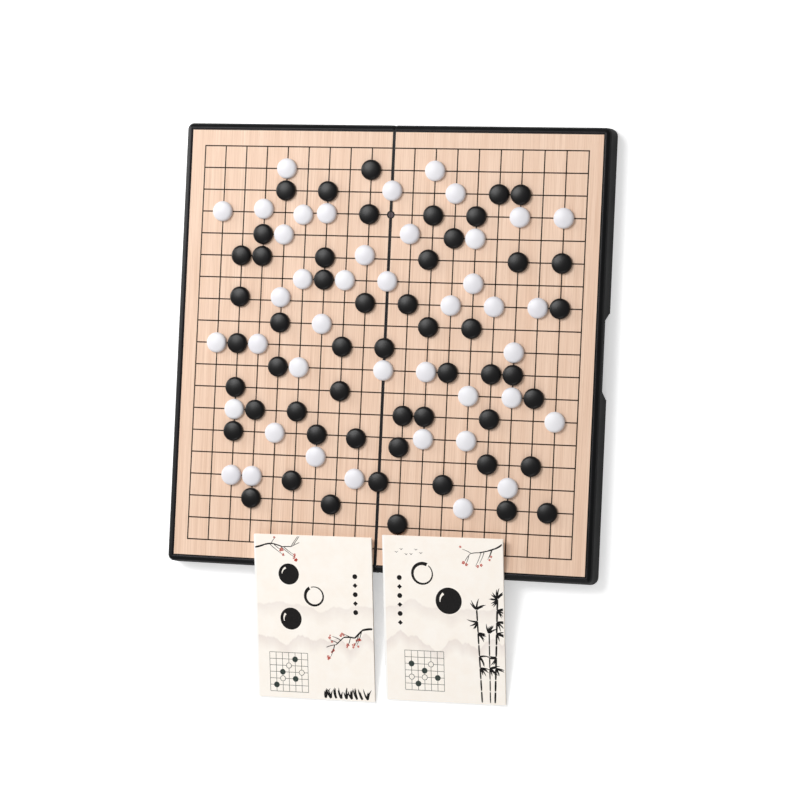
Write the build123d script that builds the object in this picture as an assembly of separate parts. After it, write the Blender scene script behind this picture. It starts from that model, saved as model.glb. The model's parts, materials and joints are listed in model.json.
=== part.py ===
from build123d import *
import math
import os

os.makedirs("parts", exist_ok=True)

# Playing grid
GRID_LINES = 19
CELL = 18.5
GRID_HALF = CELL * (GRID_LINES - 1) / 2
MARGIN_SIDE = 11.8
MARGIN_END = 13.4
FOLD_BAND_HALF = 1.35

# Case
CASE_HEIGHT = 20.0
SEAM_HEIGHT = 2.2
SHOULDER_DROP = 2.0
SHOULDER_HEIGHT = CASE_HEIGHT - SHOULDER_DROP
SHOULDER_CUT = 1.0
GROOVE = 1.35
BEAD = 0.9
SLOPE = 3.5
FLARE = 1.3
WALL = 2.4
TOP_PLATE = 2.0
RECESS_DEPTH = 1.3
STEEL = 0.5
PRINT = 0.4
FOLD_GAP = 0.15
FOLD_RIM_SUNK = 0.2
SEAM_CORNER = 6.5
FOLD_CORNER = 2.0
PANEL_X = GRID_HALF + MARGIN_SIDE
PANEL_Y = GRID_HALF + MARGIN_END
POCKET_X = PANEL_X + GROOVE
POCKET_Y = PANEL_Y + GROOVE
BEAD_INSET = SLOPE + FLARE
CASE_X = POCKET_X + BEAD + BEAD_INSET
CASE_Y = POCKET_Y + BEAD + BEAD_INSET
PLATE_TOP = CASE_HEIGHT - RECESS_DEPTH
PLATE_UNDER = PLATE_TOP - TOP_PLATE
FACE = PLATE_TOP + STEEL + PRINT
FOLD_RIM_TOP = FACE - FOLD_RIM_SUNK

# Overlapping seam
SEAM_GAP = 0.05
LIP = 1.0
REBATE = 1.2
REBATE_TOP = SEAM_HEIGHT + 2.4
LIP_START = 4.0
REBATE_START = 3.3

# Fold hinge
HINGE_Y = 115.0
KNUCKLE = 11.0
KNUCKLE_GAP = 0.3
KNUCKLE_R = 2.1
KNUCKLE_CLEAR = 0.25
HINGE_BLOCK_X = 6.5
HINGE_BLOCK_TOP = 8.0
PIN_R = 1.0
PIN_TIGHT = 0.02
PIN_RUNNING = 0.05

# Finger recess
RECESS_MOUTH = 70.5
RECESS_CEILING = 58.0
RECESS_IN = 7.0
RECESS_UP = 10.5
RECESS_BACK = 1.8

# Closing magnets
MAGNET_SIDE = 6.0
MAGNET_T = 3.0
MAGNET_SUNK = 0.1
MAGNET_CLEAR = 0.05
BOSS_SIDE = 9.0
BOSS_Y = 50.0
BOSS_WALL_GAP = 2.0
BOSS_X = CASE_X - WALL - BOSS_WALL_GAP - BOSS_SIDE / 2

# Stones
STONE_R = 8.5
STONE_SIDE = 2.4
STONE_H = 5.0
STONE_SIDES = 12
STONE_RING = 0.6
STONE_MAGNET = 8.0
STONE_MAGNET_T = 2.0
STONE_CLEAR = 0.1

# Booklets
BOOK_W = 103.0
BOOK_H = 139.0
BOOK_COVER = 0.3
BOOK_T = 2.5
BOOK_TRIM = 0.4
BOOK_YAW = math.radians(1.0)
BOOK_LEFT_X = -102.6
BOOK_GAP = 9.5
BOOK_RIGHT_X = BOOK_LEFT_X + BOOK_W + BOOK_GAP
BOOK_LEFT_FOOT = -295.9
BOOK_RIGHT_FOOT = -291.0
BOOK_REST = 0.05
STAPLE = 0.5
STAPLE_LEN = 12.0

# Underside of each booklet touches the table and the outer edge of the front rim
RIM_Y = -(CASE_Y - BEAD_INSET)
BOOK_LEFT_TILT = math.atan2(CASE_HEIGHT + BOOK_REST, RIM_Y - BOOK_LEFT_FOOT)
BOOK_RIGHT_TILT = math.atan2(CASE_HEIGHT + BOOK_REST, RIM_Y - BOOK_RIGHT_FOOT)

# The board stands off centre so that the whole set is centred
FRONT_Y = min(
    BOOK_LEFT_FOOT - BOOK_T * math.sin(BOOK_LEFT_TILT),
    BOOK_RIGHT_FOOT - BOOK_T * math.sin(BOOK_RIGHT_TILT),
)
BOARD_Y = -(CASE_Y + FRONT_Y) / 2

DIAGRAM = """
...................
....O...X..O.......
....X.X..O..O.XX...
.O.O.OO.X..X.X.O.O.
...XO.....O.XO.....
..XX..X.O..X...X.X.
.....OXO.O...O.....
..X.O...X.X.O.O.OX.
....X.O....X.X.....
.OXO...X.X.....O...
....XO...O.OX.XX...
..X....X.....O.OX..
..OX.X....XX..X..O.
..X.O.X.X.XO.O.....
......O.......X.X..
..OO.X..OX..X..O...
...X...X.....O.X.X.
..........X........
...................
"""

# Stones that were put down by hand a little off their crossings: column, row, shift
NUDGES = {
    (11, 14): (-2.3, -7.6), (8, 17): (-3.5, -2.2), (18, 17): (-3.0, -0.3),
    (6, 16): (-1.8, -2.3), (9, 14): (-2.5, -1.8), (11, 18): (-0.3, 2.8),
    (12, 6): (-2.5, 0.3), (3, 8): (0.4, 2.3), (6, 4): (-2.2, -1.5),
    (4, 4): (-0.4, 2.7), (9, 6): (-2.1, 2.8), (11, 5): (-0.8, 2.8),
    (5, 8): (-0.4, 2.8), (9, 16): (-2.2, 1.6), (10, 3): (0.8, 1.4),
}


def slab(x0, x1, y0, y1, z0, z1):
    box = Box(x1 - x0, y1 - y0, z1 - z0)
    return Pos((x0 + x1) / 2, (y0 + y1) / 2, (z0 + z1) / 2) * box


def outline(inset, z, fold_x=FOLD_GAP):
    """Plan of the right half: rounded at the outer corners, nearly sharp at the fold."""
    x1 = CASE_X - inset
    y1 = CASE_Y - inset
    corner = max(SEAM_CORNER - inset, 0.6)
    near = min(FOLD_CORNER, corner)
    face = Pos((fold_x + x1) / 2, 0, z) * Rectangle(x1 - fold_x, 2 * y1)
    middle = (fold_x + x1) / 2
    outer = [v for v in face.vertices() if v.X > middle]
    face = fillet(outer, corner)
    inner = [v for v in face.vertices() if v.X < fold_x + 0.01]
    return fillet(inner, near)


def body_between(levels, fold_x=FOLD_GAP):
    solids = None
    for (z0, in0), (z1, in1) in zip(levels, levels[1:]):
        if in0 == in1:
            piece = extrude(outline(in0, z0, fold_x), z1 - z0, dir=(0, 0, 1))
        else:
            piece = loft([outline(in0, z0, fold_x), outline(in1, z1, fold_x)], ruled=True)
        solids = piece if solids is None else solids + piece
    return solids


def bare_shell():
    """Top plate with flared walls, a sloped edge and the recess for the sheets."""
    low = SEAM_HEIGHT + SEAM_GAP
    below = FLARE * (1 - SHOULDER_CUT / (SHOULDER_HEIGHT - low))
    above = SHOULDER_HEIGHT + SHOULDER_CUT * SHOULDER_DROP / SLOPE
    levels = [(low, 0), (SHOULDER_HEIGHT - SHOULDER_CUT, below)]
    levels += [(above, FLARE + SHOULDER_CUT), (CASE_HEIGHT, BEAD_INSET)]
    outer = body_between(levels)
    hollow = body_between([(low - 1, WALL), (PLATE_UNDER, WALL + FLARE)], FOLD_GAP + WALL)
    recess = slab(FOLD_BAND_HALF, POCKET_X, -POCKET_Y, POCKET_Y, PLATE_TOP, CASE_HEIGHT + 1)
    fold_rim = slab(-1, FOLD_BAND_HALF, -POCKET_Y, POCKET_Y, FOLD_RIM_TOP, CASE_HEIGHT + 1)
    return outer - hollow - recess - fold_rim


def seam_band(inset0, inset1, z0, z1, start):
    """Strip along the three free walls, used for the lips and their rebates."""
    band = extrude(outline(inset0, z0), z1 - z0, dir=(0, 0, 1))
    band -= extrude(outline(inset1, z0 - 1), z1 - z0 + 2, dir=(0, 0, 1))
    return band - slab(-1, start, -CASE_Y - 1, CASE_Y + 1, z0 - 1, z1 + 1)


def recess_prism(grow, z1):
    """Seen from the side it is wide at the seam and narrower at its ceiling."""
    lean = (RECESS_MOUTH - RECESS_CEILING) / 2 / RECESS_UP
    mouth = RECESS_MOUTH / 2 + grow
    top = mouth - (z1 - SEAM_HEIGHT) * lean
    x0 = CASE_X - RECESS_IN - grow
    points = [(-mouth, -1), (mouth, -1), (mouth, SEAM_HEIGHT), (top, z1)]
    points += [(-top, z1), (-mouth, SEAM_HEIGHT)]
    side = Plane.YZ * make_face(Polyline(points, close=True))
    return Pos(x0, 0, 0) * extrude(side, CASE_X + 1 - x0)


def with_finger_recess(shell):
    """Finger recess in the outer wall, closed behind so the tray stays shut."""
    low = SEAM_HEIGHT + SEAM_GAP
    block = recess_prism(RECESS_BACK, PLATE_UNDER)
    block &= body_between([(low, LIP / 2), (PLATE_UNDER, LIP / 2 + FLARE)])
    return shell + block - recess_prism(0, SEAM_HEIGHT + RECESS_UP)


def boss_places():
    return [(BOSS_X, y) for y in (-BOSS_Y, BOSS_Y)]


def with_bosses(shell):
    low = SEAM_HEIGHT + SEAM_GAP
    depth = MAGNET_SUNK + MAGNET_T + MAGNET_CLEAR
    half = BOSS_SIDE / 2
    hole = MAGNET_SIDE / 2 + MAGNET_CLEAR
    for x, y in boss_places():
        shell += slab(x - half, x + half, y - half, y + half, low, PLATE_UNDER + 1)
        shell -= slab(x - hole, x + hole, y - hole, y + hole, low - 1, low + depth)
    return shell


def hinge_rows():
    """Centre and half-length of each knuckle: outer pair on the left half, middle on the right."""
    rows = []
    for y in (-HINGE_Y, HINGE_Y):
        for step in (-1, 0, 1):
            rows.append((y + step * (KNUCKLE + KNUCKLE_GAP), KNUCKLE / 2, step == 0))
    return rows


def along_fold(radius, y, length):
    return Pos(0, y, SEAM_HEIGHT) * Rot(90, 0, 0) * Cylinder(radius, length)


def with_knuckles(shell, middle):
    low = SEAM_HEIGHT + SEAM_GAP
    for y, half, is_middle in hinge_rows():
        shell += slab(FOLD_GAP, HINGE_BLOCK_X, y - half - 1, y + half + 1, low, HINGE_BLOCK_TOP)
    for y, half, is_middle in hinge_rows():
        if is_middle != middle:
            room = 2 * (half + KNUCKLE_GAP)
            shell -= along_fold(KNUCKLE_R + KNUCKLE_CLEAR, y, room)
    for y, half, is_middle in hinge_rows():
        if is_middle == middle:
            shell += along_fold(KNUCKLE_R, y, 2 * half)
    hole = PIN_R + (PIN_RUNNING if middle else PIN_TIGHT)
    for y in (-HINGE_Y, HINGE_Y):
        shell -= along_fold(hole, y, 3 * KNUCKLE + 4 * KNUCKLE_GAP + 4)
    return shell


def case_half(has_skirt):
    """Right half has the outer skirt, left half the inner lip that slips inside it."""
    shell = with_finger_recess(bare_shell())
    low = SEAM_HEIGHT + SEAM_GAP
    notch = slab(0, CASE_X + 1, -RECESS_MOUTH / 2, RECESS_MOUTH / 2, -1, low)
    notch &= slab(CASE_X - RECESS_IN, CASE_X + 1, -CASE_Y, CASE_Y, -1, low)
    if has_skirt:
        shell -= seam_band(WALL - REBATE, WALL + 1, low - 1, REBATE_TOP, REBATE_START)
        lip = seam_band(0, LIP, 0, low, LIP_START)
        root = seam_band(0, LIP, low, low + 1, LIP_START)
    else:
        shell -= seam_band(-1, REBATE, low - 1, REBATE_TOP, REBATE_START)
        lip = seam_band(WALL - LIP, WALL, 0, low, LIP_START)
        root = seam_band(WALL - LIP, WALL, low, low + 1, LIP_START)
    shell = shell + (lip - notch)
    shell = with_bosses(shell)
    shell = with_knuckles(shell, has_skirt)
    return shell


def left_of(shape):
    return mirror(shape, about=Plane.YZ)


def steel_sheet():
    return slab(FOLD_BAND_HALF, PANEL_X, -PANEL_Y, PANEL_Y, PLATE_TOP, PLATE_TOP + STEEL)


def printed_sheet():
    return slab(FOLD_BAND_HALF, PANEL_X, -PANEL_Y, PANEL_Y, PLATE_TOP + STEEL, FACE)


def closing_magnets():
    z = SEAM_HEIGHT + SEAM_GAP + MAGNET_SUNK + MAGNET_T / 2
    block = Box(MAGNET_SIDE, MAGNET_SIDE, MAGNET_T)
    return Compound([Pos(x, y, z) * block for x, y in boss_places()])


def hinge_pin(y):
    return along_fold(PIN_R, y, 3 * KNUCKLE + 2 * KNUCKLE_GAP)


def polygon_points(radius, z):
    turns = [2 * math.pi * (i + 0.5) / STONE_SIDES for i in range(STONE_SIDES)]
    return [(radius * math.cos(t), radius * math.sin(t), z) for t in turns]


def flat(*points):
    return Face(Wire.make_polygon([Vector(*p) for p in points]))


def stone():
    """Flat-bottomed faceted stone with a short side, a shallow dome and a magnet pocket."""
    rise = STONE_H - STONE_SIDE
    radius = (STONE_R ** 2 + rise ** 2) / (2 * rise)
    ring = STONE_R * STONE_RING
    ring_z = STONE_H - radius + math.sqrt(radius ** 2 - ring ** 2)
    low = polygon_points(STONE_R, 0)
    edge = polygon_points(STONE_R, STONE_SIDE)
    crown = polygon_points(ring, ring_z)
    faces = [flat(*low)]
    for i in range(STONE_SIDES):
        j = (i + 1) % STONE_SIDES
        faces.append(flat(low[i], low[j], edge[j], edge[i]))
        faces.append(flat(edge[i], edge[j], crown[j], crown[i]))
        faces.append(flat(crown[i], crown[j], (0, 0, STONE_H)))
    side = STONE_MAGNET / 2 + STONE_CLEAR
    pocket = slab(-side, side, -side, side, -1, STONE_CLEAR + STONE_MAGNET_T)
    return Solid(Shell(faces)) - pocket


def stone_magnet():
    side = STONE_MAGNET / 2
    return slab(-side, side, -side, side, STONE_CLEAR, STONE_CLEAR + STONE_MAGNET_T)


def stone_places():
    """Lists of places by side of the fold and colour letter."""
    places = {}
    for row, line in enumerate(DIAGRAM.split(), start=1):
        for col, mark in enumerate(line, start=1):
            if mark == ".":
                continue
            middle = (GRID_LINES + 1) / 2
            side = "left" if col < middle else "right" if col > middle else "fold"
            dx, dy = NUDGES.get((col, row), (0, 0))
            x = (col - middle) * CELL + dx
            y = (middle - row) * CELL + dy + BOARD_Y
            places.setdefault((side, mark), []).append((x, y))
    return places


def repeated(shape, spots):
    return Compound([Pos(x, y, FACE) * shape for x, y in spots])


def booklet_frame(x, foot_y, tilt):
    """Foot corner on the table, underside on the front rim of the case."""
    along = Vector(1, 0, 0)
    up = Vector(0, math.cos(tilt), math.sin(tilt))
    out = Vector(0, -math.sin(tilt), math.cos(tilt))
    width = along * math.cos(BOOK_YAW) + up * math.sin(BOOK_YAW)
    return Plane(origin=Vector(x, foot_y + BOARD_Y, 0), x_dir=width, z_dir=out)


def booklet(x, foot_y, tilt):
    """Front cover, pages, back cover with the spine, and two staples."""
    frame = booklet_frame(x, foot_y, tilt)
    low = BOOK_COVER
    high = BOOK_T - BOOK_COVER
    front = slab(0, BOOK_W, 0, BOOK_H, high, BOOK_T)
    back = slab(0, BOOK_W, 0, BOOK_H, 0, low) + slab(0, BOOK_COVER, 0, BOOK_H, 0, high)
    inner = BOOK_H - BOOK_TRIM
    pages = slab(BOOK_COVER, BOOK_W - BOOK_TRIM, BOOK_TRIM, inner, low, high)
    wires = []
    for share in (0.25, 0.75):
        middle = BOOK_H * share
        y0 = middle - STAPLE_LEN / 2
        wires.append(slab(-STAPLE, 0, y0, y0 + STAPLE_LEN, BOOK_T / 2 - STAPLE, BOOK_T / 2))
    parts = {"front_cover": front, "pages": pages, "back_cover": back}
    parts["staples"] = Compound(wires)
    return {name: frame.location * shape for name, shape in parts.items()}


def nodes():
    board = Pos(0, BOARD_Y, 0)
    right = case_half(True)
    left = left_of(case_half(False))
    yield "right_case_shell", board * right
    yield "left_case_shell", board * left
    for name, shape in (("steel_sheet", steel_sheet()), ("printed_sheet", printed_sheet())):
        yield "right_" + name, board * shape
        yield "left_" + name, board * left_of(shape)
    yield "right_closing_magnets", board * closing_magnets()
    yield "left_closing_magnets", board * left_of(closing_magnets())
    yield "front_hinge_pin", board * hinge_pin(-HINGE_Y)
    yield "rear_hinge_pin", board * hinge_pin(HINGE_Y)
    places = stone_places()
    colours = {"X": "black", "O": "white"}
    for (side, mark), spots in places.items():
        yield side + "_" + colours[mark] + "_stones", repeated(stone(), spots)
        yield side + "_" + colours[mark] + "_stone_magnets", repeated(stone_magnet(), spots)
    left_book = booklet(BOOK_LEFT_X, BOOK_LEFT_FOOT, BOOK_LEFT_TILT)
    right_book = booklet(BOOK_RIGHT_X, BOOK_RIGHT_FOOT, BOOK_RIGHT_TILT)
    for side, pieces in (("left", left_book), ("right", right_book)):
        for name, shape in pieces.items():
            yield side + "_booklet_" + name, shape


for name, shape in nodes():
    export_step(shape, "parts/" + name + ".step")
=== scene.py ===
import json
import math
import random

import bmesh
import bpy
from mathutils import Matrix, Vector


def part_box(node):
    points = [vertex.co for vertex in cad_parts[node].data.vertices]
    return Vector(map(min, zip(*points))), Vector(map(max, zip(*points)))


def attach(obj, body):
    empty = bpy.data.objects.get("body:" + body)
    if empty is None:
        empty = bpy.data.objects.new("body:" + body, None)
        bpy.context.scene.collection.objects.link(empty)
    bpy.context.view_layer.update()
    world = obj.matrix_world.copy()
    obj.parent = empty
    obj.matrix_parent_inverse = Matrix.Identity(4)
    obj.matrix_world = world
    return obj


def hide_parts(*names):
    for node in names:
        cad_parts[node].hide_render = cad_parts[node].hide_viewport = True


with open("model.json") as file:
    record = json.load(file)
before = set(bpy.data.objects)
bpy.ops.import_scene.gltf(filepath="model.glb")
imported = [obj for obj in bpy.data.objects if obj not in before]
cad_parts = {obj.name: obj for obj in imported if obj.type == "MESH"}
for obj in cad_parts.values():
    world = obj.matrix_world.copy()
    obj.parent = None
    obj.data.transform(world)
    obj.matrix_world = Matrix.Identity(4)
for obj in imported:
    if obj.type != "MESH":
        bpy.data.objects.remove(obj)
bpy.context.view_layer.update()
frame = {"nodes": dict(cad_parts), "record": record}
scene = bpy.context.scene
scene.view_settings.view_transform = "Standard"

# Sizes in metres, as the solids have them
SHEET_LOW, SHEET_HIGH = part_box("right_printed_sheet")
BOARD_Y = (SHEET_LOW[1] + SHEET_HIGH[1]) / 2
FACE = SHEET_HIGH[2]
PANEL_X = SHEET_HIGH[0]
FOLD = SHEET_LOW[0]
CELL = 0.0185
LINES = 19
LINE_W = 0.00105
INK = 0.00003

# Star points: six cells from the centre, and on the fold rims, which lie a little lower
STAR_STEP = 6 * CELL
STAR_R = 0.0034
STAR_CORE_R = STAR_R * 0.68
STAR_SIDES = 48
RIM_TOP = FACE - 0.0002
RIM_GAP = 0.00015
RIM_EDGE = 0.0001

# Stones
STONE_R = 0.0085
STONE_H = 0.005
STONE_FOOT = 0.00035
STONE_LOW = 0.0021
STONE_CAP_R = 0.0062
STONE_CAP_DROP = 0.0007
POCKET_R = 0.0058
POCKET_ROOF = 0.0021
POCKET_CORNER = 0.0002
STONE_SIDES = 40

# Booklet covers
COVER_W = 0.103
COVER_H = 0.139
COVER_EDGE = 0.0008
COVER_INK = 0.00002
HILLS = ((0.080, 0.014, (226, 214, 208), 0.6), (0.052, 0.016, (218, 204, 199), 0.65))
HILL_SEEDS = {"left": 2.0, "right": 9.0}

# Camera fitted to the grid corners
cam_data = bpy.data.cameras.new("camera")
cam_data.sensor_width = 36.0
cam_data.lens = 131.2
cam_data.clip_end = 20
camera = bpy.data.objects.new("camera", cam_data)
scene.collection.objects.link(camera)
scene.camera = camera
cam_right = Vector((0.95692, 0.04542, -0.28676))
cam_up = Vector((-0.03819, 0.99880, 0.03075))
stand = Matrix((cam_right, cam_up, cam_right.cross(cam_up))).transposed().to_4x4()
stand.translation = Vector((0.71003, BOARD_Y - 0.08701, FACE + 2.31144))
camera.matrix_world = stand


# Shader helpers
def node(tree, kind, ins=None, **props):
    nd = tree.nodes.new(kind)
    for key, value in props.items():
        setattr(nd, key, value)
    for key, value in (ins or {}).items():
        if isinstance(value, bpy.types.NodeSocket):
            tree.links.new(value, nd.inputs[key])
        else:
            nd.inputs[key].default_value = value
    return nd


def maths(tree, op, a, b=0.0, clamp=False):
    return node(tree, "ShaderNodeMath", {0: a, 1: b}, operation=op, use_clamp=clamp).outputs[0]


def times(tree, a, b):
    return maths(tree, "MULTIPLY", a, b)


def vector(tree, op, a, b=(0, 0, 0)):
    return node(tree, "ShaderNodeVectorMath", {0: a, 1: b}, operation=op)


def dot(tree, a, b):
    return vector(tree, "DOT_PRODUCT", a, b).outputs["Value"]


def stretched(tree, coord, scales):
    return vector(tree, "MULTIPLY", coord, scales).outputs[0]


def noise(tree, coord, scale, detail=3.0, rough=0.55):
    ins = {"Vector": coord, "Scale": scale, "Detail": detail, "Roughness": rough}
    return node(tree, "ShaderNodeTexNoise", ins).outputs["Fac"]


def ramp(tree, value, low, high, to0=0.0, to1=1.0):
    ins = {"Value": value, "From Min": low, "From Max": high, "To Min": to0, "To Max": to1}
    return node(tree, "ShaderNodeMapRange", ins, clamp=True).outputs[0]


def mix(tree, factor, a, b, blend="MIX"):
    nd = node(tree, "ShaderNodeMix", data_type="RGBA", blend_type=blend)
    for index, value in ((0, factor), (6, a), (7, b)):
        if isinstance(value, bpy.types.NodeSocket):
            tree.links.new(value, nd.inputs[index])
        else:
            nd.inputs[index].default_value = value
    return nd.outputs[2]


def rgba(r, g, b):
    """Linear colour from the 0 to 255 values of a screen."""
    return tuple(((c / 255 + 0.055) / 1.055) ** 2.4 if c > 10 else c / 3294 for c in (r, g, b)) + (1,)


def group(name, inputs, outputs):
    tree = bpy.data.node_groups.new(name, "ShaderNodeTree")
    for label, kind in inputs:
        tree.interface.new_socket(label, in_out="INPUT", socket_type="NodeSocket" + kind)
    for label, kind in outputs:
        tree.interface.new_socket(label, in_out="OUTPUT", socket_type="NodeSocket" + kind)
    return tree, node(tree, "NodeGroupInput"), node(tree, "NodeGroupOutput")


def use(tree, grp, ins):
    nd = tree.nodes.new("ShaderNodeGroup")
    nd.node_tree = grp
    for key, value in ins.items():
        if isinstance(value, bpy.types.NodeSocket):
            tree.links.new(value, nd.inputs[key])
        else:
            nd.inputs[key].default_value = value
    return nd


def grain_group():
    """Fine moulded or pressed grain: a height, a slow wear mask and speckle."""
    tree, gi, go = group("grain", [("Coord", "Vector"), ("Scale", "Float")],
                         [("Height", "Float"), ("Wear", "Float"), ("Speckle", "Float")])
    coord = gi.outputs["Coord"]
    scale = gi.outputs["Scale"]
    fine = noise(tree, coord, scale, 2.0)
    cells = node(tree, "ShaderNodeTexVoronoi", {"Vector": coord, "Scale": scale}).outputs["Distance"]
    height = maths(tree, "ADD", times(tree, fine, 0.6), times(tree, cells, 0.4))
    wear = ramp(tree, noise(tree, coord, 22.0, 5.0, 0.6), 0.35, 0.7)
    speck = ramp(tree, noise(tree, coord, times(tree, scale, 0.35), 2.0), 0.3, 0.75)
    tree.links.new(height, go.inputs["Height"])
    tree.links.new(wear, go.inputs["Wear"])
    tree.links.new(speck, go.inputs["Speckle"])
    return tree


def paper_group():
    """Linen-pressed paper: crossed threads and soft fibres, as a height and a tone."""
    tree, gi, go = group("linen_paper", [("U", "Float"), ("V", "Float")],
                         [("Height", "Float"), ("Tone", "Float")])
    u = gi.outputs["U"]
    v = gi.outputs["V"]
    coord = node(tree, "ShaderNodeCombineXYZ", {0: u, 1: v}).outputs[0]
    weft = maths(tree, "SINE", times(tree, u, 7800.0))
    warp = maths(tree, "SINE", times(tree, v, 7800.0))
    cloth = times(tree, maths(tree, "ADD", weft, warp), 0.25)
    fibre = noise(tree, coord, 1400.0, 3.0)
    height = maths(tree, "ADD", maths(tree, "ADD", cloth, 0.5), times(tree, fibre, 0.5))
    tone = noise(tree, coord, 60.0, 6.0, 0.65)
    tree.links.new(height, go.inputs["Height"])
    tree.links.new(tone, go.inputs["Tone"])
    return tree


grain = grain_group()
linen = paper_group()


def material(name):
    mat = bpy.data.materials.new(name)
    mat.use_nodes = True
    tree = mat.node_tree
    bsdf = tree.nodes["Principled BSDF"]
    coord = node(tree, "ShaderNodeTexCoord").outputs["Object"]
    return mat, tree, bsdf, coord


def bump(tree, bsdf, height, depth, strength=1.0, round_edges=0.0):
    ins = {"Height": height, "Distance": depth, "Strength": strength}
    if round_edges:
        ins["Normal"] = node(tree, "ShaderNodeBevel", {"Radius": round_edges}, samples=6).outputs[0]
    tree.links.new(node(tree, "ShaderNodeBump", ins).outputs[0], bsdf.inputs["Normal"])


def case_plastic():
    """Black moulded plastic: satin rim and shoulder, rougher upright walls."""
    mat, tree, bsdf, coord = material("case_plastic")
    g = use(tree, grain, {"Coord": coord, "Scale": 2600.0})
    base = mix(tree, g.outputs["Wear"], rgba(8, 9, 10), rgba(13, 14, 15))
    base = mix(tree, times(tree, g.outputs["Speckle"], 0.3), base, rgba(24, 24, 26))
    # Edges and corners painted paler: a painted highlight along the rounded edges, and partly wear from
    # handling
    face = node(tree, "ShaderNodeNewGeometry").outputs["Normal"]
    soft = node(tree, "ShaderNodeBevel", {"Radius": 0.0007}, samples=6).outputs[0]
    edge_highlight_and_wear = ramp(tree, dot(tree, face, soft), 0.99, 0.90)
    uneven = ramp(tree, g.outputs["Wear"], 0.0, 1.0, 0.7, 1.0)
    base = mix(tree, times(tree, edge_highlight_and_wear, uneven), base, rgba(74, 72, 76))
    tree.links.new(base, bsdf.inputs["Base Color"])
    rough = ramp(tree, g.outputs["Wear"], 0.0, 1.0, 0.3, 0.4)
    facing = node(tree, "ShaderNodeTexCoord").outputs["Normal"]
    upwards = node(tree, "ShaderNodeSeparateXYZ", {0: facing}).outputs[2]
    rough = maths(tree, "ADD", rough, ramp(tree, upwards, 0.65, 0.4, 0.0, 0.34))
    tree.links.new(rough, bsdf.inputs["Roughness"])
    bsdf.inputs["Specular IOR Level"].default_value = 0.16
    bump(tree, bsdf, g.outputs["Height"], 0.00004, 0.5, 0.0008)
    return mat


def wood_print():
    """Printed straight grain that runs along the fold, under a satin film."""
    mat, tree, bsdf, coord = material("wood_print")
    bend = noise(tree, stretched(tree, coord, (9.0, 3.0, 1.0)), 1.0, 2.0)
    shift = node(tree, "ShaderNodeCombineXYZ", {0: times(tree, bend, 0.006)}).outputs[0]
    bent = vector(tree, "ADD", coord, shift).outputs[0]
    fine = noise(tree, stretched(tree, bent, (1500.0, 14.0, 1.0)), 1.0, 3.0)
    broad = noise(tree, stretched(tree, bent, (150.0, 2.5, 1.0)), 1.0, 3.0)
    pores = noise(tree, stretched(tree, bent, (2600.0, 90.0, 1.0)), 1.0, 2.0)
    base = mix(tree, ramp(tree, broad, 0.3, 0.7), rgba(238, 208, 185), rgba(227, 193, 168))
    base = mix(tree, ramp(tree, fine, 0.42, 0.72, 0.0, 0.7), base, rgba(206, 168, 140))
    base = mix(tree, ramp(tree, pores, 0.62, 0.75, 0.0, 0.45), base, rgba(192, 150, 120))
    tree.links.new(base, bsdf.inputs["Base Color"])
    tree.links.new(ramp(tree, fine, 0.3, 0.7, 0.42, 0.5), bsdf.inputs["Roughness"])
    bsdf.inputs["Specular IOR Level"].default_value = 0.35
    g = use(tree, grain, {"Coord": coord, "Scale": 1800.0})
    bump(tree, bsdf, g.outputs["Height"], 0.00001, 0.4)
    return mat


def ink(name, colour, other):
    """Matt printing ink, a little uneven in tone."""
    mat, tree, bsdf, coord = material(name)
    g = use(tree, grain, {"Coord": coord, "Scale": 3000.0})
    base = mix(tree, g.outputs["Speckle"], colour, other)
    tree.links.new(base, bsdf.inputs["Base Color"])
    tree.links.new(ramp(tree, g.outputs["Wear"], 0.0, 1.0, 0.48, 0.6), bsdf.inputs["Roughness"])
    bsdf.inputs["Specular IOR Level"].default_value = 0.2
    bump(tree, bsdf, g.outputs["Height"], 0.000008, 0.4)
    return mat


def stone_plastic(name, dark, light, rough0, rough1, depth, shine):
    """Polished stone plastic with slow tone changes and a faint surface ripple."""
    mat, tree, bsdf, coord = material(name)
    g = use(tree, grain, {"Coord": coord, "Scale": 1500.0})
    base = mix(tree, g.outputs["Wear"], dark, light)
    tree.links.new(base, bsdf.inputs["Base Color"])
    tree.links.new(ramp(tree, g.outputs["Wear"], 0.0, 1.0, rough0, rough1), bsdf.inputs["Roughness"])
    bsdf.inputs["Specular IOR Level"].default_value = shine
    bump(tree, bsdf, g.outputs["Height"], depth, 0.5)
    return mat


def metal(name, colour, rough0, rough1, along):
    """Drawn or ground metal, its lines set by the stretch of the noise."""
    mat, tree, bsdf, coord = material(name)
    lines = noise(tree, stretched(tree, coord, along), 1.0, 3.0)
    g = use(tree, grain, {"Coord": coord, "Scale": 900.0})
    tint = tuple(c * 0.7 for c in colour[:3]) + (1,)
    base = mix(tree, times(tree, g.outputs["Wear"], 0.6), colour, tint)
    tree.links.new(base, bsdf.inputs["Base Color"])
    tree.links.new(ramp(tree, lines, 0.3, 0.7, rough0, rough1), bsdf.inputs["Roughness"])
    bsdf.inputs["Metallic"].default_value = 1.0
    bump(tree, bsdf, lines, 0.00001, 0.5)
    return mat


def booklet_axes(side):
    """Foot corner, and the width, height and outward directions, of a booklet from its joints."""
    joints = {j["name"]: j for j in frame["record"]["behaviour"]["joints"]}
    hinge = joints[side + "_booklet_cover_hinge"]
    up = -Vector(hinge["axis"])
    out = Vector(joints[side + "_booklet_lift"]["axis"])
    return Vector(hinge["pos_m"]), up.cross(out), up, out


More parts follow.
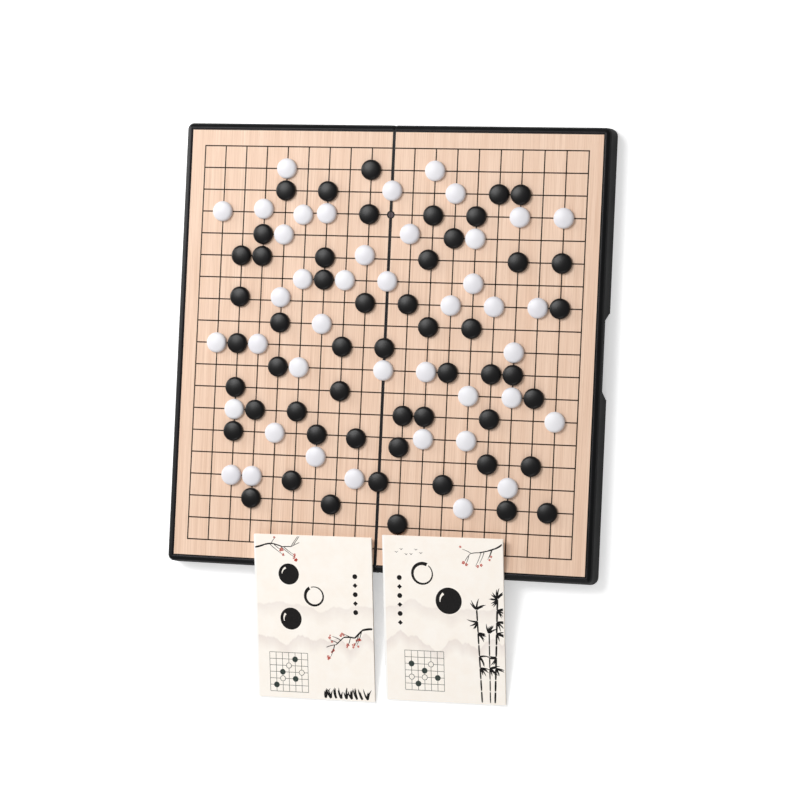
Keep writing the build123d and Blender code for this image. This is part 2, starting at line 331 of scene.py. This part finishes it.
def booklet_paper(side, seed):
    """Cream linen cover with two faint lines of hills and a pale strip at the spine."""
    mat, tree, bsdf, coord = material(side + "_cover_paper")
    foot, across, up, out = (tuple(axis) for axis in booklet_axes(side))
    local = vector(tree, "SUBTRACT", coord, foot).outputs[0]
    u = dot(tree, local, across)
    v = dot(tree, local, up)
    p = use(tree, linen, {"U": u, "V": v})
    base = mix(tree, ramp(tree, p.outputs["Tone"], 0.3, 0.7), rgba(255, 249, 241), rgba(252, 243, 232))
    outer = ramp(tree, dot(tree, node(tree, "ShaderNodeTexCoord").outputs["Normal"], out), 0.4, 0.6)
    wash = ramp(tree, noise(tree, coord, 90.0, 5.0, 0.7), 0.25, 0.75, 0.55, 1.0)
    for i, (height, swell, colour, strength) in enumerate(HILLS):
        along = node(tree, "ShaderNodeCombineXYZ", {0: u, 2: seed + i * 3.7}).outputs[0]
        ridge = maths(tree, "SUBTRACT", noise(tree, along, 24.0 + 9 * i, 4.0, 0.5), 0.5)
        top = maths(tree, "ADD", times(tree, ridge, swell * 3.4), height)
        depth = maths(tree, "SUBTRACT", top, v)
        edge = ramp(tree, depth, 0.0, 0.0016)
        fade = ramp(tree, depth, 0.0, 0.013, strength, 0.0)
        base = mix(tree, times(tree, times(tree, edge, fade), times(tree, wash, outer)), base, rgba(*colour))
    spine = ramp(tree, u, 0.0018, 0.0014)
    base = mix(tree, times(tree, spine, 0.8), base, rgba(255, 254, 252))
    tree.links.new(base, bsdf.inputs["Base Color"])
    bsdf.inputs["Roughness"].default_value = 0.75
    bsdf.inputs["Specular IOR Level"].default_value = 0.25
    bump(tree, bsdf, p.outputs["Height"], 0.00003, 0.6)
    return mat


def page_edges(side):
    """White paper, with the leaves as fine lines through the thickness."""
    mat, tree, bsdf, coord = material(side + "_page_edges")
    foot, _, _, out = (tuple(axis) for axis in booklet_axes(side))
    depth = dot(tree, vector(tree, "SUBTRACT", coord, foot).outputs[0], out)
    through = node(tree, "ShaderNodeCombineXYZ", {0: times(tree, depth, 9000.0)}).outputs[0]
    sheets = noise(tree, through, 1.0, 1.0)
    base = mix(tree, ramp(tree, sheets, 0.35, 0.65), rgba(250, 247, 240), rgba(206, 200, 190))
    tree.links.new(base, bsdf.inputs["Base Color"])
    bsdf.inputs["Roughness"].default_value = 0.85
    bump(tree, bsdf, sheets, 0.00006, 0.7)
    return mat


MATS = {
    "case_plastic": case_plastic(),
    "printed_sheet": wood_print(),
    "sheet_steel": metal("sheet_steel", rgba(176, 178, 182), 0.3, 0.45, (30.0, 900.0, 30.0)),
    "magnet": metal("magnet", rgba(168, 168, 172), 0.2, 0.35, (300.0, 300.0, 300.0)),
    "pin_steel": metal("pin_steel", rgba(190, 190, 194), 0.2, 0.35, (900.0, 30.0, 900.0)),
    "staple_steel": metal("staple_steel", rgba(200, 200, 204), 0.2, 0.3, (900.0, 60.0, 900.0)),
    "black_stone": stone_plastic("black_stone", rgba(7, 6, 7), rgba(11, 10, 11),
                                 0.33, 0.38, 0.000012, 0.26),
    "white_stone": stone_plastic("white_stone", rgba(221, 219, 224), rgba(229, 228, 231),
                                 0.34, 0.42, 0.00001, 0.4),
}
for side in ("left", "right"):
    MATS[side + "_booklet_pages"] = page_edges(side)
    MATS[side + "_booklet_cover"] = booklet_paper(side, HILL_SEEDS[side])
LINE_INK = ink("line_ink", rgba(36, 24, 17), rgba(54, 37, 26))
STAR_INK = ink("star_ink", rgba(16, 12, 12), rgba(26, 20, 20))
STAR_CORE = ink("star_core", rgba(74, 62, 66), rgba(88, 76, 80))
BLACK_PRINT = ink("cover_black", rgba(10, 9, 9), rgba(28, 25, 25))
RED_PRINT = ink("cover_red", rgba(176, 58, 44), rgba(206, 96, 78))
GREEN_PRINT = ink("cover_green", rgba(34, 46, 44), rgba(70, 80, 74))
PALE_PRINT = ink("cover_pale", rgba(246, 238, 226), rgba(252, 246, 238))

# Finishes of the solids
slots_of = {s["node"]: s["material_slot"] for s in frame["record"]["subparts"]}
for name, obj in frame["nodes"].items():
    slot = slots_of[name]
    mat = MATS[name.split("_")[0] + "_" + slot] if slot.startswith("booklet") else MATS[slot]
    if not obj.material_slots:
        obj.data.materials.append(mat)
    for material_slot in obj.material_slots:
        material_slot.material = mat


def add_piece(name, mesh, body, mat, smooth=True):
    if mat is not None:
        mesh.materials.clear()
        mesh.materials.append(mat)
    if smooth:
        mesh.shade_smooth()
    obj = bpy.data.objects.new(name, mesh)
    scene.collection.objects.link(obj)
    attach(obj, body)
    return obj


# Stones: a turned form with a rounded foot, an upright side, a round shoulder and a low cap
def stone_profile():
    ball = (STONE_CAP_R ** 2 + STONE_CAP_DROP ** 2) / (2 * STONE_CAP_DROP)
    shoulder = math.pi / 2 - math.asin(STONE_CAP_R / ball)
    # Magnet pocket in the underside, closed at its roof
    points = [(0.0, POCKET_ROOF), (POCKET_R - POCKET_CORNER, POCKET_ROOF),
              (POCKET_R, POCKET_ROOF - POCKET_CORNER), (POCKET_R, 0.0), (STONE_R - STONE_FOOT, 0.0)]
    for i in range(1, 4):
        turn = math.pi / 2 * i / 4
        points.append((STONE_R - STONE_FOOT * (1 - math.sin(turn)), STONE_FOOT * (1 - math.cos(turn))))
    points += [(STONE_R, STONE_FOOT), (STONE_R, STONE_LOW)]
    rise = STONE_H - STONE_CAP_DROP - STONE_LOW
    for i in range(1, 9):
        t = math.sin(shoulder * i / 8) / math.sin(shoulder)
        across = (STONE_R - STONE_CAP_R) * math.cos(math.pi / 2 * i / 8)
        points.append((STONE_CAP_R + across, STONE_LOW + rise * t))
    for i in range(1, 6):
        x = STONE_CAP_R * (1 - i / 6)
        points.append((x, STONE_H - ball + math.sqrt(ball ** 2 - x ** 2)))
    points.append((0.0, STONE_H))
    return points


def finished_mesh(name, bm):
    """Mesh with its faces turned outwards."""
    bmesh.ops.recalc_face_normals(bm, faces=bm.faces)
    mesh = bpy.data.meshes.new(name)
    bm.to_mesh(mesh)
    bm.free()
    return mesh


def turned_ring(bm, cx, cy, radius, z):
    sides = STONE_SIDES if radius else 1
    turns = [2 * math.pi * k / sides for k in range(sides)]
    return [bm.verts.new((cx + radius * math.cos(t), cy + radius * math.sin(t), z)) for t in turns]


def stones_mesh(name, centres, floor):
    profile = stone_profile()
    bm = bmesh.new()
    for cx, cy in centres:
        rings = [turned_ring(bm, cx, cy, r, floor + z) for r, z in profile]
        for low, high in zip(rings, rings[1:]):
            for k in range(STONE_SIDES):
                j = (k + 1) % STONE_SIDES
                if len(low) == 1:
                    bm.faces.new((low[0], high[j], high[k]))
                elif len(high) == 1:
                    bm.faces.new((low[k], low[j], high[0]))
                else:
                    bm.faces.new((low[k], low[j], high[j], high[k]))
    return finished_mesh(name, bm)


def stone_centres(name):
    """Each stone's crown is the highest point of its solid."""
    mesh = frame["nodes"][name].data
    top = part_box(name)[1][2]
    return sorted({(round(v.co.x, 6), round(v.co.y, 6)) for v in mesh.vertices if v.co.z > top - 1e-5})


bodies_of = {n: b for b, names in frame["record"]["behaviour"]["bodies"].items() for n in names}
for name in list(frame["nodes"]):
    if name.endswith("_stones"):
        mesh = stones_mesh(name + "_turned", stone_centres(name), FACE)
        piece = add_piece(name + "_turned", mesh, bodies_of[name], MATS[slots_of[name]])
        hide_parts(name)


# Printed grid: node tree that lays lines at equal steps, one mesh for each half
def grid_tree():
    tree = bpy.data.node_groups.new("printed_grid", "GeometryNodeTree")
    socket = tree.interface.new_socket
    for label, kind in (("Cells", "Int"), ("Step", "Float"), ("Line Width", "Float"), ("Ink", "Float"),
                        ("Near", "Float"), ("Side", "Float"), ("Centre Y", "Float"), ("Face", "Float"),
                        ("Material", "Material")):
        socket(label, in_out="INPUT", socket_type="NodeSocket" + kind)
    socket("Geometry", in_out="OUTPUT", socket_type="NodeSocketGeometry")
    gi = node(tree, "NodeGroupInput").outputs
    go = node(tree, "NodeGroupOutput")
    half = times(tree, gi["Cells"], gi["Step"])
    z = maths(tree, "ADD", gi["Face"], times(tree, gi["Ink"], 0.5))

    def xyz(x, y, zz):
        return node(tree, "ShaderNodeCombineXYZ", {0: x, 1: y, 2: zz}).outputs[0]

    def bar(sx, sy):
        return node(tree, "GeometryNodeMeshCube", {"Size": xyz(sx, sy, gi["Ink"])}).outputs["Mesh"]

    def row(count, start, offset, shape):
        line = node(tree, "GeometryNodeMeshLine", {"Count": count, "Start Location": start, "Offset": offset})
        spots = node(tree, "GeometryNodeInstanceOnPoints", {"Points": line.outputs[0], "Instance": shape})
        return spots.outputs[0]

    side = gi["Side"]
    up_len = maths(tree, "ADD", times(tree, half, 2.0), gi["Line Width"])
    x0 = times(tree, side, gi["Step"])
    y0 = maths(tree, "SUBTRACT", gi["Centre Y"], half)
    uprights = row(gi["Cells"], xyz(x0, gi["Centre Y"], z), xyz(x0, 0.0, 0.0), bar(gi["Line Width"], up_len))
    reach = maths(tree, "ADD", half, times(tree, gi["Line Width"], 0.5))
    width = maths(tree, "SUBTRACT", reach, gi["Near"])
    middle = times(tree, side, times(tree, maths(tree, "ADD", reach, gi["Near"]), 0.5))
    count = maths(tree, "ADD", times(tree, gi["Cells"], 2.0), 1.0)
    levels = row(count, xyz(middle, y0, z), xyz(0.0, gi["Step"], 0.0), bar(width, gi["Line Width"]))
    join = node(tree, "GeometryNodeJoinGeometry")
    tree.links.new(uprights, join.inputs[0])
    tree.links.new(levels, join.inputs[0])
    real = node(tree, "GeometryNodeRealizeInstances", {0: join.outputs[0]})
    done = node(tree, "GeometryNodeSetMaterial", {"Geometry": real.outputs[0], "Material": gi["Material"]})
    tree.links.new(done.outputs[0], go.inputs[0])
    return tree


def grown(tree, values):
    """Plain mesh that a node tree makes with these inputs."""
    holder = bpy.data.objects.new("grower", bpy.data.meshes.new("grower"))
    scene.collection.objects.link(holder)
    mod = holder.modifiers.new("grow", "NODES")
    mod.node_group = tree
    for item in tree.interface.items_tree:
        if item.in_out == "INPUT" and item.name in values:
            mod[item.identifier] = values[item.name]
    bpy.context.view_layer.update()
    graph = bpy.context.evaluated_depsgraph_get()
    mesh = bpy.data.meshes.new_from_object(holder.evaluated_get(graph))
    bpy.data.objects.remove(holder)
    return mesh


grid = grid_tree()
for side, sign in (("left", -1.0), ("right", 1.0)):
    values = {"Cells": (LINES - 1) // 2, "Step": CELL, "Line Width": LINE_W, "Ink": INK, "Near": FOLD,
              "Side": sign, "Centre Y": BOARD_Y, "Face": FACE, "Material": LINE_INK}
    add_piece(side + "_grid_lines", grown(grid, values), side + "_half", None, smooth=False)


# Printed shapes: flat outlines lifted a hair over the surface that carries them
def printed(name, shapes, to_world, lift):
    """Each shape is a closed outline in the surface's own two directions, and its layer."""
    bm = bmesh.new()
    for outline, layer in shapes:
        top = [bm.verts.new(to_world(u, v, lift * (layer + 1))) for u, v in outline]
        low = [bm.verts.new(to_world(u, v, 0.0)) for u, v in outline]
        bm.faces.new(top)
        for k in range(len(top)):
            j = (k + 1) % len(top)
            bm.faces.new((low[k], low[j], top[j], top[k]))
    return finished_mesh(name, bm)


def trimmed(points, x0, x1, y0, y1):
    """Outline cut back to an upright box."""
    for axis, edge, keep in ((0, x0, 1), (0, x1, -1), (1, y0, 1), (1, y1, -1)):
        cut = []
        for a, b in zip(points, points[1:] + points[:1]):
            in_a = (a[axis] - edge) * keep >= 0
            in_b = (b[axis] - edge) * keep >= 0
            if in_a:
                cut.append(a)
            if in_a != in_b:
                t = (edge - a[axis]) / (b[axis] - a[axis])
                cut.append((a[0] + t * (b[0] - a[0]), a[1] + t * (b[1] - a[1])))
        points = cut
    return points


def disc(cx, cy, radius, steps=40, squash=1.0, turn=0.0):
    points = []
    for k in range(steps):
        t = 2 * math.pi * k / steps
        x, y = radius * math.cos(t), radius * squash * math.sin(t)
        points.append((cx + x * math.cos(turn) - y * math.sin(turn),
                       cy + x * math.sin(turn) + y * math.cos(turn)))
    return points


def star_shapes(spots, radius, span, layer):
    return [(trimmed(disc(x, y, radius, STAR_SIDES), *span, y - radius, y + radius), layer) for x, y in spots]


for side, sign in (("left", -1.0), ("right", 1.0)):
    sheet = sorted((sign * FOLD, sign * PANEL_X))
    rim = sorted((sign * RIM_GAP, sign * (FOLD - RIM_EDGE)))
    rows = [BOARD_Y + y for y in (-STAR_STEP, 0.0, STAR_STEP)]
    on_fold = [(0.0, y) for y in rows]
    off_fold = [(sign * STAR_STEP, y) for y in rows]
    for kind, radius, layer, mat in (("points", STAR_R, 1, STAR_INK), ("cores", STAR_CORE_R, 2, STAR_CORE)):
        for place, span, level, slot, spots in (
                ("sheet", sheet, FACE, "printed_sheet", on_fold + off_fold),
                ("rim", rim, RIM_TOP, "case_plastic", on_fold)):
            shapes = star_shapes(spots, radius, span, layer)
            mesh = printed(kind, shapes, lambda u, v, n, z=level: (u, v, z + n), INK)
            add_piece(side + "_star_" + kind + "_on_" + place, mesh, side + "_half", mat, smooth=False)


# Booklet covers: plain ink motifs, drawn in the cover's own two directions
def stroke(p0, p1, p2, wide, thin, steps=16):
    """Brush stroke on a bent line: full at its start, thin at its end."""
    left, right = [], []
    for k in range(steps + 1):
        t = k / steps
        x = p0[0] * (1 - t) ** 2 + p1[0] * 2 * t * (1 - t) + p2[0] * t * t
        y = p0[1] * (1 - t) ** 2 + p1[1] * 2 * t * (1 - t) + p2[1] * t * t
        dx = 2 * (1 - t) * (p1[0] - p0[0]) + 2 * t * (p2[0] - p1[0])
        dy = 2 * (1 - t) * (p1[1] - p0[1]) + 2 * t * (p2[1] - p1[1])
        size = math.hypot(dx, dy) or 1.0
        landing = 0.75 + 0.25 * math.sin(math.pi * min(1, 4 * t) / 2)
        w = 0.5 * (wide * (1 - t) ** 0.7 + thin * t) * landing
        left.append((x - dy / size * w, y + dx / size * w))
        right.append((x + dy / size * w, y - dx / size * w))
    return left + right[::-1]


def ring_strokes(cx, cy, radius, width, start, sweep, layer, parts=24):
    """Open brush ring as short overlapping pieces, broad where the brush lands."""
    def ends(k):
        turn, w = start + sweep * k / parts, width * (1 - 0.75 * k / parts)
        return [(cx + r * math.cos(turn), cy + r * math.sin(turn)) for r in (radius + w / 2, radius - w / 2)]

    pieces = []
    for k in range(parts):
        (outer0, inner0), (outer1, inner1) = ends(k), ends(k + 1)
        pieces.append(([outer0, outer1, inner1, inner0], layer))
    return pieces


def diagram(cx, cy, step, cells, blacks, whites, weight):
    """Small board corner: lines, filled stones and pale stones with an outline."""
    half = step * cells / 2
    lines, pale = [], []

    def bar(x0, y0, x1, y1):
        lines.append(([(x0, y0), (x1, y0), (x1, y1), (x0, y1)], 0))

    def stone(i, j, size):
        return disc(cx - half + i * step, cy - half + j * step, step * size)

    for k in range(cells + 1):
        d = -half + k * step
        bar(cx + d - weight / 2, cy - half, cx + d + weight / 2, cy + half)
        bar(cx - half, cy + d - weight / 2, cx + half, cy + d + weight / 2)
    lines += [(stone(i, j, 0.44), 1) for i, j in blacks + whites]
    pale += [(stone(i, j, 0.36), 2) for i, j in whites]
    return lines, pale


def blossom(dice, x, y, size):
    """Five petals round a centre."""
    turn = dice.uniform(0, 1.2)
    petals = []
    for k in range(5):
        t = turn + 2 * math.pi * k / 5
        px, py = x + size * 0.62 * math.cos(t), y + size * 0.62 * math.sin(t)
        petals.append((disc(px, py, size * 0.46, 10, 0.75, t), k % 2))
    return petals


def branch(seed, start, end, wide, twigs):
    """Knotted bough with twigs; blossoms sit at the twig ends."""
    dice = random.Random(seed)
    start, end = Vector(start), Vector(end)
    along = end - start
    side = Vector((-along.y, along.x)).normalized()
    wood, flowers = [], []
    knots = [start.lerp(end, k / 5) + side * dice.uniform(-0.0035, 0.0035) for k in range(6)]
    knots[0] = start
    for k in range(5):
        mid = (knots[k] + knots[k + 1]) / 2 + side * dice.uniform(-0.001, 0.001)
        w = wide * (1 - k / 6)
        wood.append((stroke(knots[k], mid, knots[k + 1], w, w * 0.8), k % 3))
    for k in range(twigs):
        root = knots[1 + k % 4].lerp(knots[2 + k % 4], dice.random())
        way = dice.choice((-1, 1))
        size = dice.uniform(0.006, 0.015)
        tip = root + along.normalized() * size * 0.8 + side * way * size * 0.8
        mid = (root + tip) / 2 + side * way * 0.001
        wood.append((stroke(root, mid, tip, wide * 0.4, wide * 0.12, 8), k % 3))
        for _ in range(dice.randrange(1, 4)):
            spot = tip + Vector((dice.uniform(-0.0022, 0.0022), dice.uniform(-0.0022, 0.0022)))
            flowers += blossom(dice, spot.x, spot.y, dice.uniform(0.0007, 0.0015))
    return wood, flowers


def leaves(dice, x, y, count, size, heading, spread):
    """Tuft of pointed leaves from one joint."""
    shapes = []
    for k in range(count):
        t = heading + dice.uniform(-spread, spread)
        far = size * dice.uniform(0.6, 1.0)
        tip = (x + far * math.cos(t), y + far * math.sin(t))
        mid = (x + far * 0.5 * math.cos(t + 0.25), y + far * 0.5 * math.sin(t + 0.25))
        shapes.append((stroke((x, y), mid, tip, size * 0.2, 0.0001, 8), k % 3))
    return shapes


def cane(seed, x, y, joints, step, lean, wide):
    """Jointed stem with leaf tufts at some joints."""
    dice = random.Random(seed)
    shapes = []
    for k in range(joints):
        y1 = y + step * 0.93
        x1 = x + lean
        shapes.append((stroke((x, y), ((x + x1) / 2, (y + y1) / 2), (x1, y1), wide, wide * 0.9, 4), k % 2))
        if k > 1 and dice.random() < 0.75:
            shapes += leaves(dice, x1, y1, 6, step * 0.95, dice.choice((-0.5, 3.6)), 0.8)
        x, y = x1, y + step
    return shapes + leaves(dice, x, y, 7, step, 1.4, 1.2)


def birds(x, y, count):
    """Far birds as two short strokes each."""
    shapes = []
    for k in range(count):
        bx = x + 0.0042 * k
        by = y + 0.0026 * math.sin(1.9 * k)
        for way in (-1, 1):
            tip = (bx + way * 0.0016, by + 0.0009)
            shapes.append((stroke((bx, by), (bx + way * 0.0007, by + 0.0011), tip, 0.0005, 0.0001, 6), 0))
    return shapes


def big_stones(spots):
    """Large brushed stones: full ones with a pale gleam, and open ones as a broad ring."""
    solid, shine = [], []
    for k, (x, y, radius, full) in enumerate(spots):
        if full:
            solid.append((disc(x, y, radius), 0))
            shine += ring_strokes(x, y, radius * 0.66, radius * 0.2, 2.0 + 0.2 * k, 1.1, 1, 10)
        else:
            solid += ring_strokes(x, y, radius * 0.86, radius * 0.3, 1.1 + k, 6.1, 1)
    return solid, shine


def side_marks(x, y, count, step=0.0076, size=0.0021):
    """Row of small alternate dots and lozenges down the cover."""
    return [(disc(x, y - k * step, size, 4 if k % 2 else 20), 1) for k in range(count)]


def left_cover():
    black, shine = big_stones(((0.030, 0.106, 0.0090, True), (0.052, 0.088, 0.0092, False),
                               (0.031, 0.068, 0.0094, True)))
    black += side_marks(0.088, 0.106, 5)
    low_wood, low_red = branch(7, (0.1025, 0.062), (0.062, 0.044), 0.0018, 9)
    top_wood, top_red = branch(12, (0.001, 0.128), (0.040, 0.134), 0.0015, 7)
    black += low_wood + top_wood
    green, pale = diagram(0.028, 0.022, 0.0056, 6, ((1, 1), (2, 3), (4, 2), (4, 5)),
                          ((2, 2), (3, 4), (5, 3)), 0.0004)
    dice = random.Random(3)
    for k in range(9):
        black += leaves(dice, 0.060 + 0.0046 * k, 0.0015, 4, 0.010, 1.6, 0.5)
    return black, low_red + top_red, green, pale + shine


def right_cover():
    black, shine = big_stones(((0.034, 0.108, 0.0100, False), (0.056, 0.086, 0.0112, True)))
    black += side_marks(0.014, 0.104, 6)
    for k, (x, joints, wide) in enumerate(((0.083, 8, 0.0013), (0.090, 6, 0.0010), (0.094, 9, 0.0015))):
        black += cane(40 + k, x, 0.0015, joints, 0.0098, 0.0004 * (k - 1), wide)
    wood, red = branch(21, (0.1025, 0.135), (0.070, 0.122), 0.0014, 6)
    black += wood + birds(0.012, 0.125, 6)
    green, pale = diagram(0.034, 0.026, 0.0056, 6, ((1, 4), (3, 3), (5, 2), (2, 1)),
                          ((4, 4), (3, 2), (1, 2)), 0.0004)
    return black, red, green, pale + shine


def on_cover(shapes):
    """Shapes cut back to just inside the cover's edges."""
    kept = [(trimmed(points, COVER_EDGE, COVER_W - COVER_EDGE, COVER_EDGE, COVER_H - COVER_EDGE), layer)
            for points, layer in shapes]
    return [(points, layer) for points, layer in kept if len(points) > 2]


COVER_INKS = (("black", BLACK_PRINT), ("red", RED_PRINT), ("green", GREEN_PRINT), ("pale", PALE_PRINT))
for side, cover in (("left", left_cover()), ("right", right_cover())):
    foot, across, up, out = booklet_axes(side)
    for (colour, mat), shapes in zip(COVER_INKS, cover):
        to_world = lambda u, v, n: foot + across * u + up * v + out * n
        mesh = printed(colour, on_cover(shapes), to_world, COVER_INK)
        name = side + "_cover_" + colour + "_print"
        add_piece(name, mesh, side + "_booklet_cover", mat, smooth=False)


# Floor, sky and lamps
FLOOR_HALF = 6
FLOOR_GLOW = 0.42
SKY_FILL = 0.38
floor_mesh = bpy.data.meshes.new("floor")
corners = [(x * FLOOR_HALF, y * FLOOR_HALF, 0) for x, y in ((-1, -1), (1, -1), (1, 1), (-1, 1))]
floor_mesh.from_pydata(corners, [], [(0, 1, 2, 3)])
floor = bpy.data.objects.new("floor", floor_mesh)
scene.collection.objects.link(floor)
fmat, ftree, fbsdf, _ = material("floor")
fbsdf.inputs["Base Color"].default_value = (0.86, 0.86, 0.86, 1)
fbsdf.inputs["Roughness"].default_value = 0.9
fbsdf.inputs["Specular IOR Level"].default_value = 0.1
path = node(ftree, "ShaderNodeLightPath").outputs
seen = maths(ftree, "ADD", path["Is Camera Ray"], path["Is Glossy Ray"])
seen = maths(ftree, "ADD", seen, path["Is Transmission Ray"], clamp=True)
fbsdf.inputs["Emission Color"].default_value = (1, 1, 1, 1)
ftree.links.new(times(ftree, seen, FLOOR_GLOW), fbsdf.inputs["Emission Strength"])
floor_mesh.materials.append(fmat)

world = bpy.data.worlds.new("studio")
scene.world = world
world.use_nodes = True
sky = world.node_tree.nodes["Background"]
sky.inputs["Color"].default_value = (1, 1, 1, 1)
wpath = node(world.node_tree, "ShaderNodeLightPath").outputs
direct = maths(world.node_tree, "ADD", wpath["Is Camera Ray"], wpath["Is Transmission Ray"], clamp=True)
world.node_tree.links.new(ramp(world.node_tree, direct, 0.0, 1.0, SKY_FILL, 1.0), sky.inputs["Strength"])


def lamp(name, spot, size, power):
    """Square soft lamp that points at the middle of the table top."""
    data = bpy.data.lights.new(name, "AREA")
    data.shape = "SQUARE"
    data.size = size
    data.energy = power
    obj = bpy.data.objects.new(name, data)
    obj.location = spot
    obj.rotation_euler = (-Vector(spot)).to_track_quat("-Z", "Y").to_euler()
    scene.collection.objects.link(obj)


lamp("key", (-0.85, 0.75, 1.7), size=0.9, power=28)
lamp("side", (-2.1, 0.7, 0.5), size=1.0, power=20)
lamp("front", (0.1, -1.9, 1.5), size=1.2, power=9)
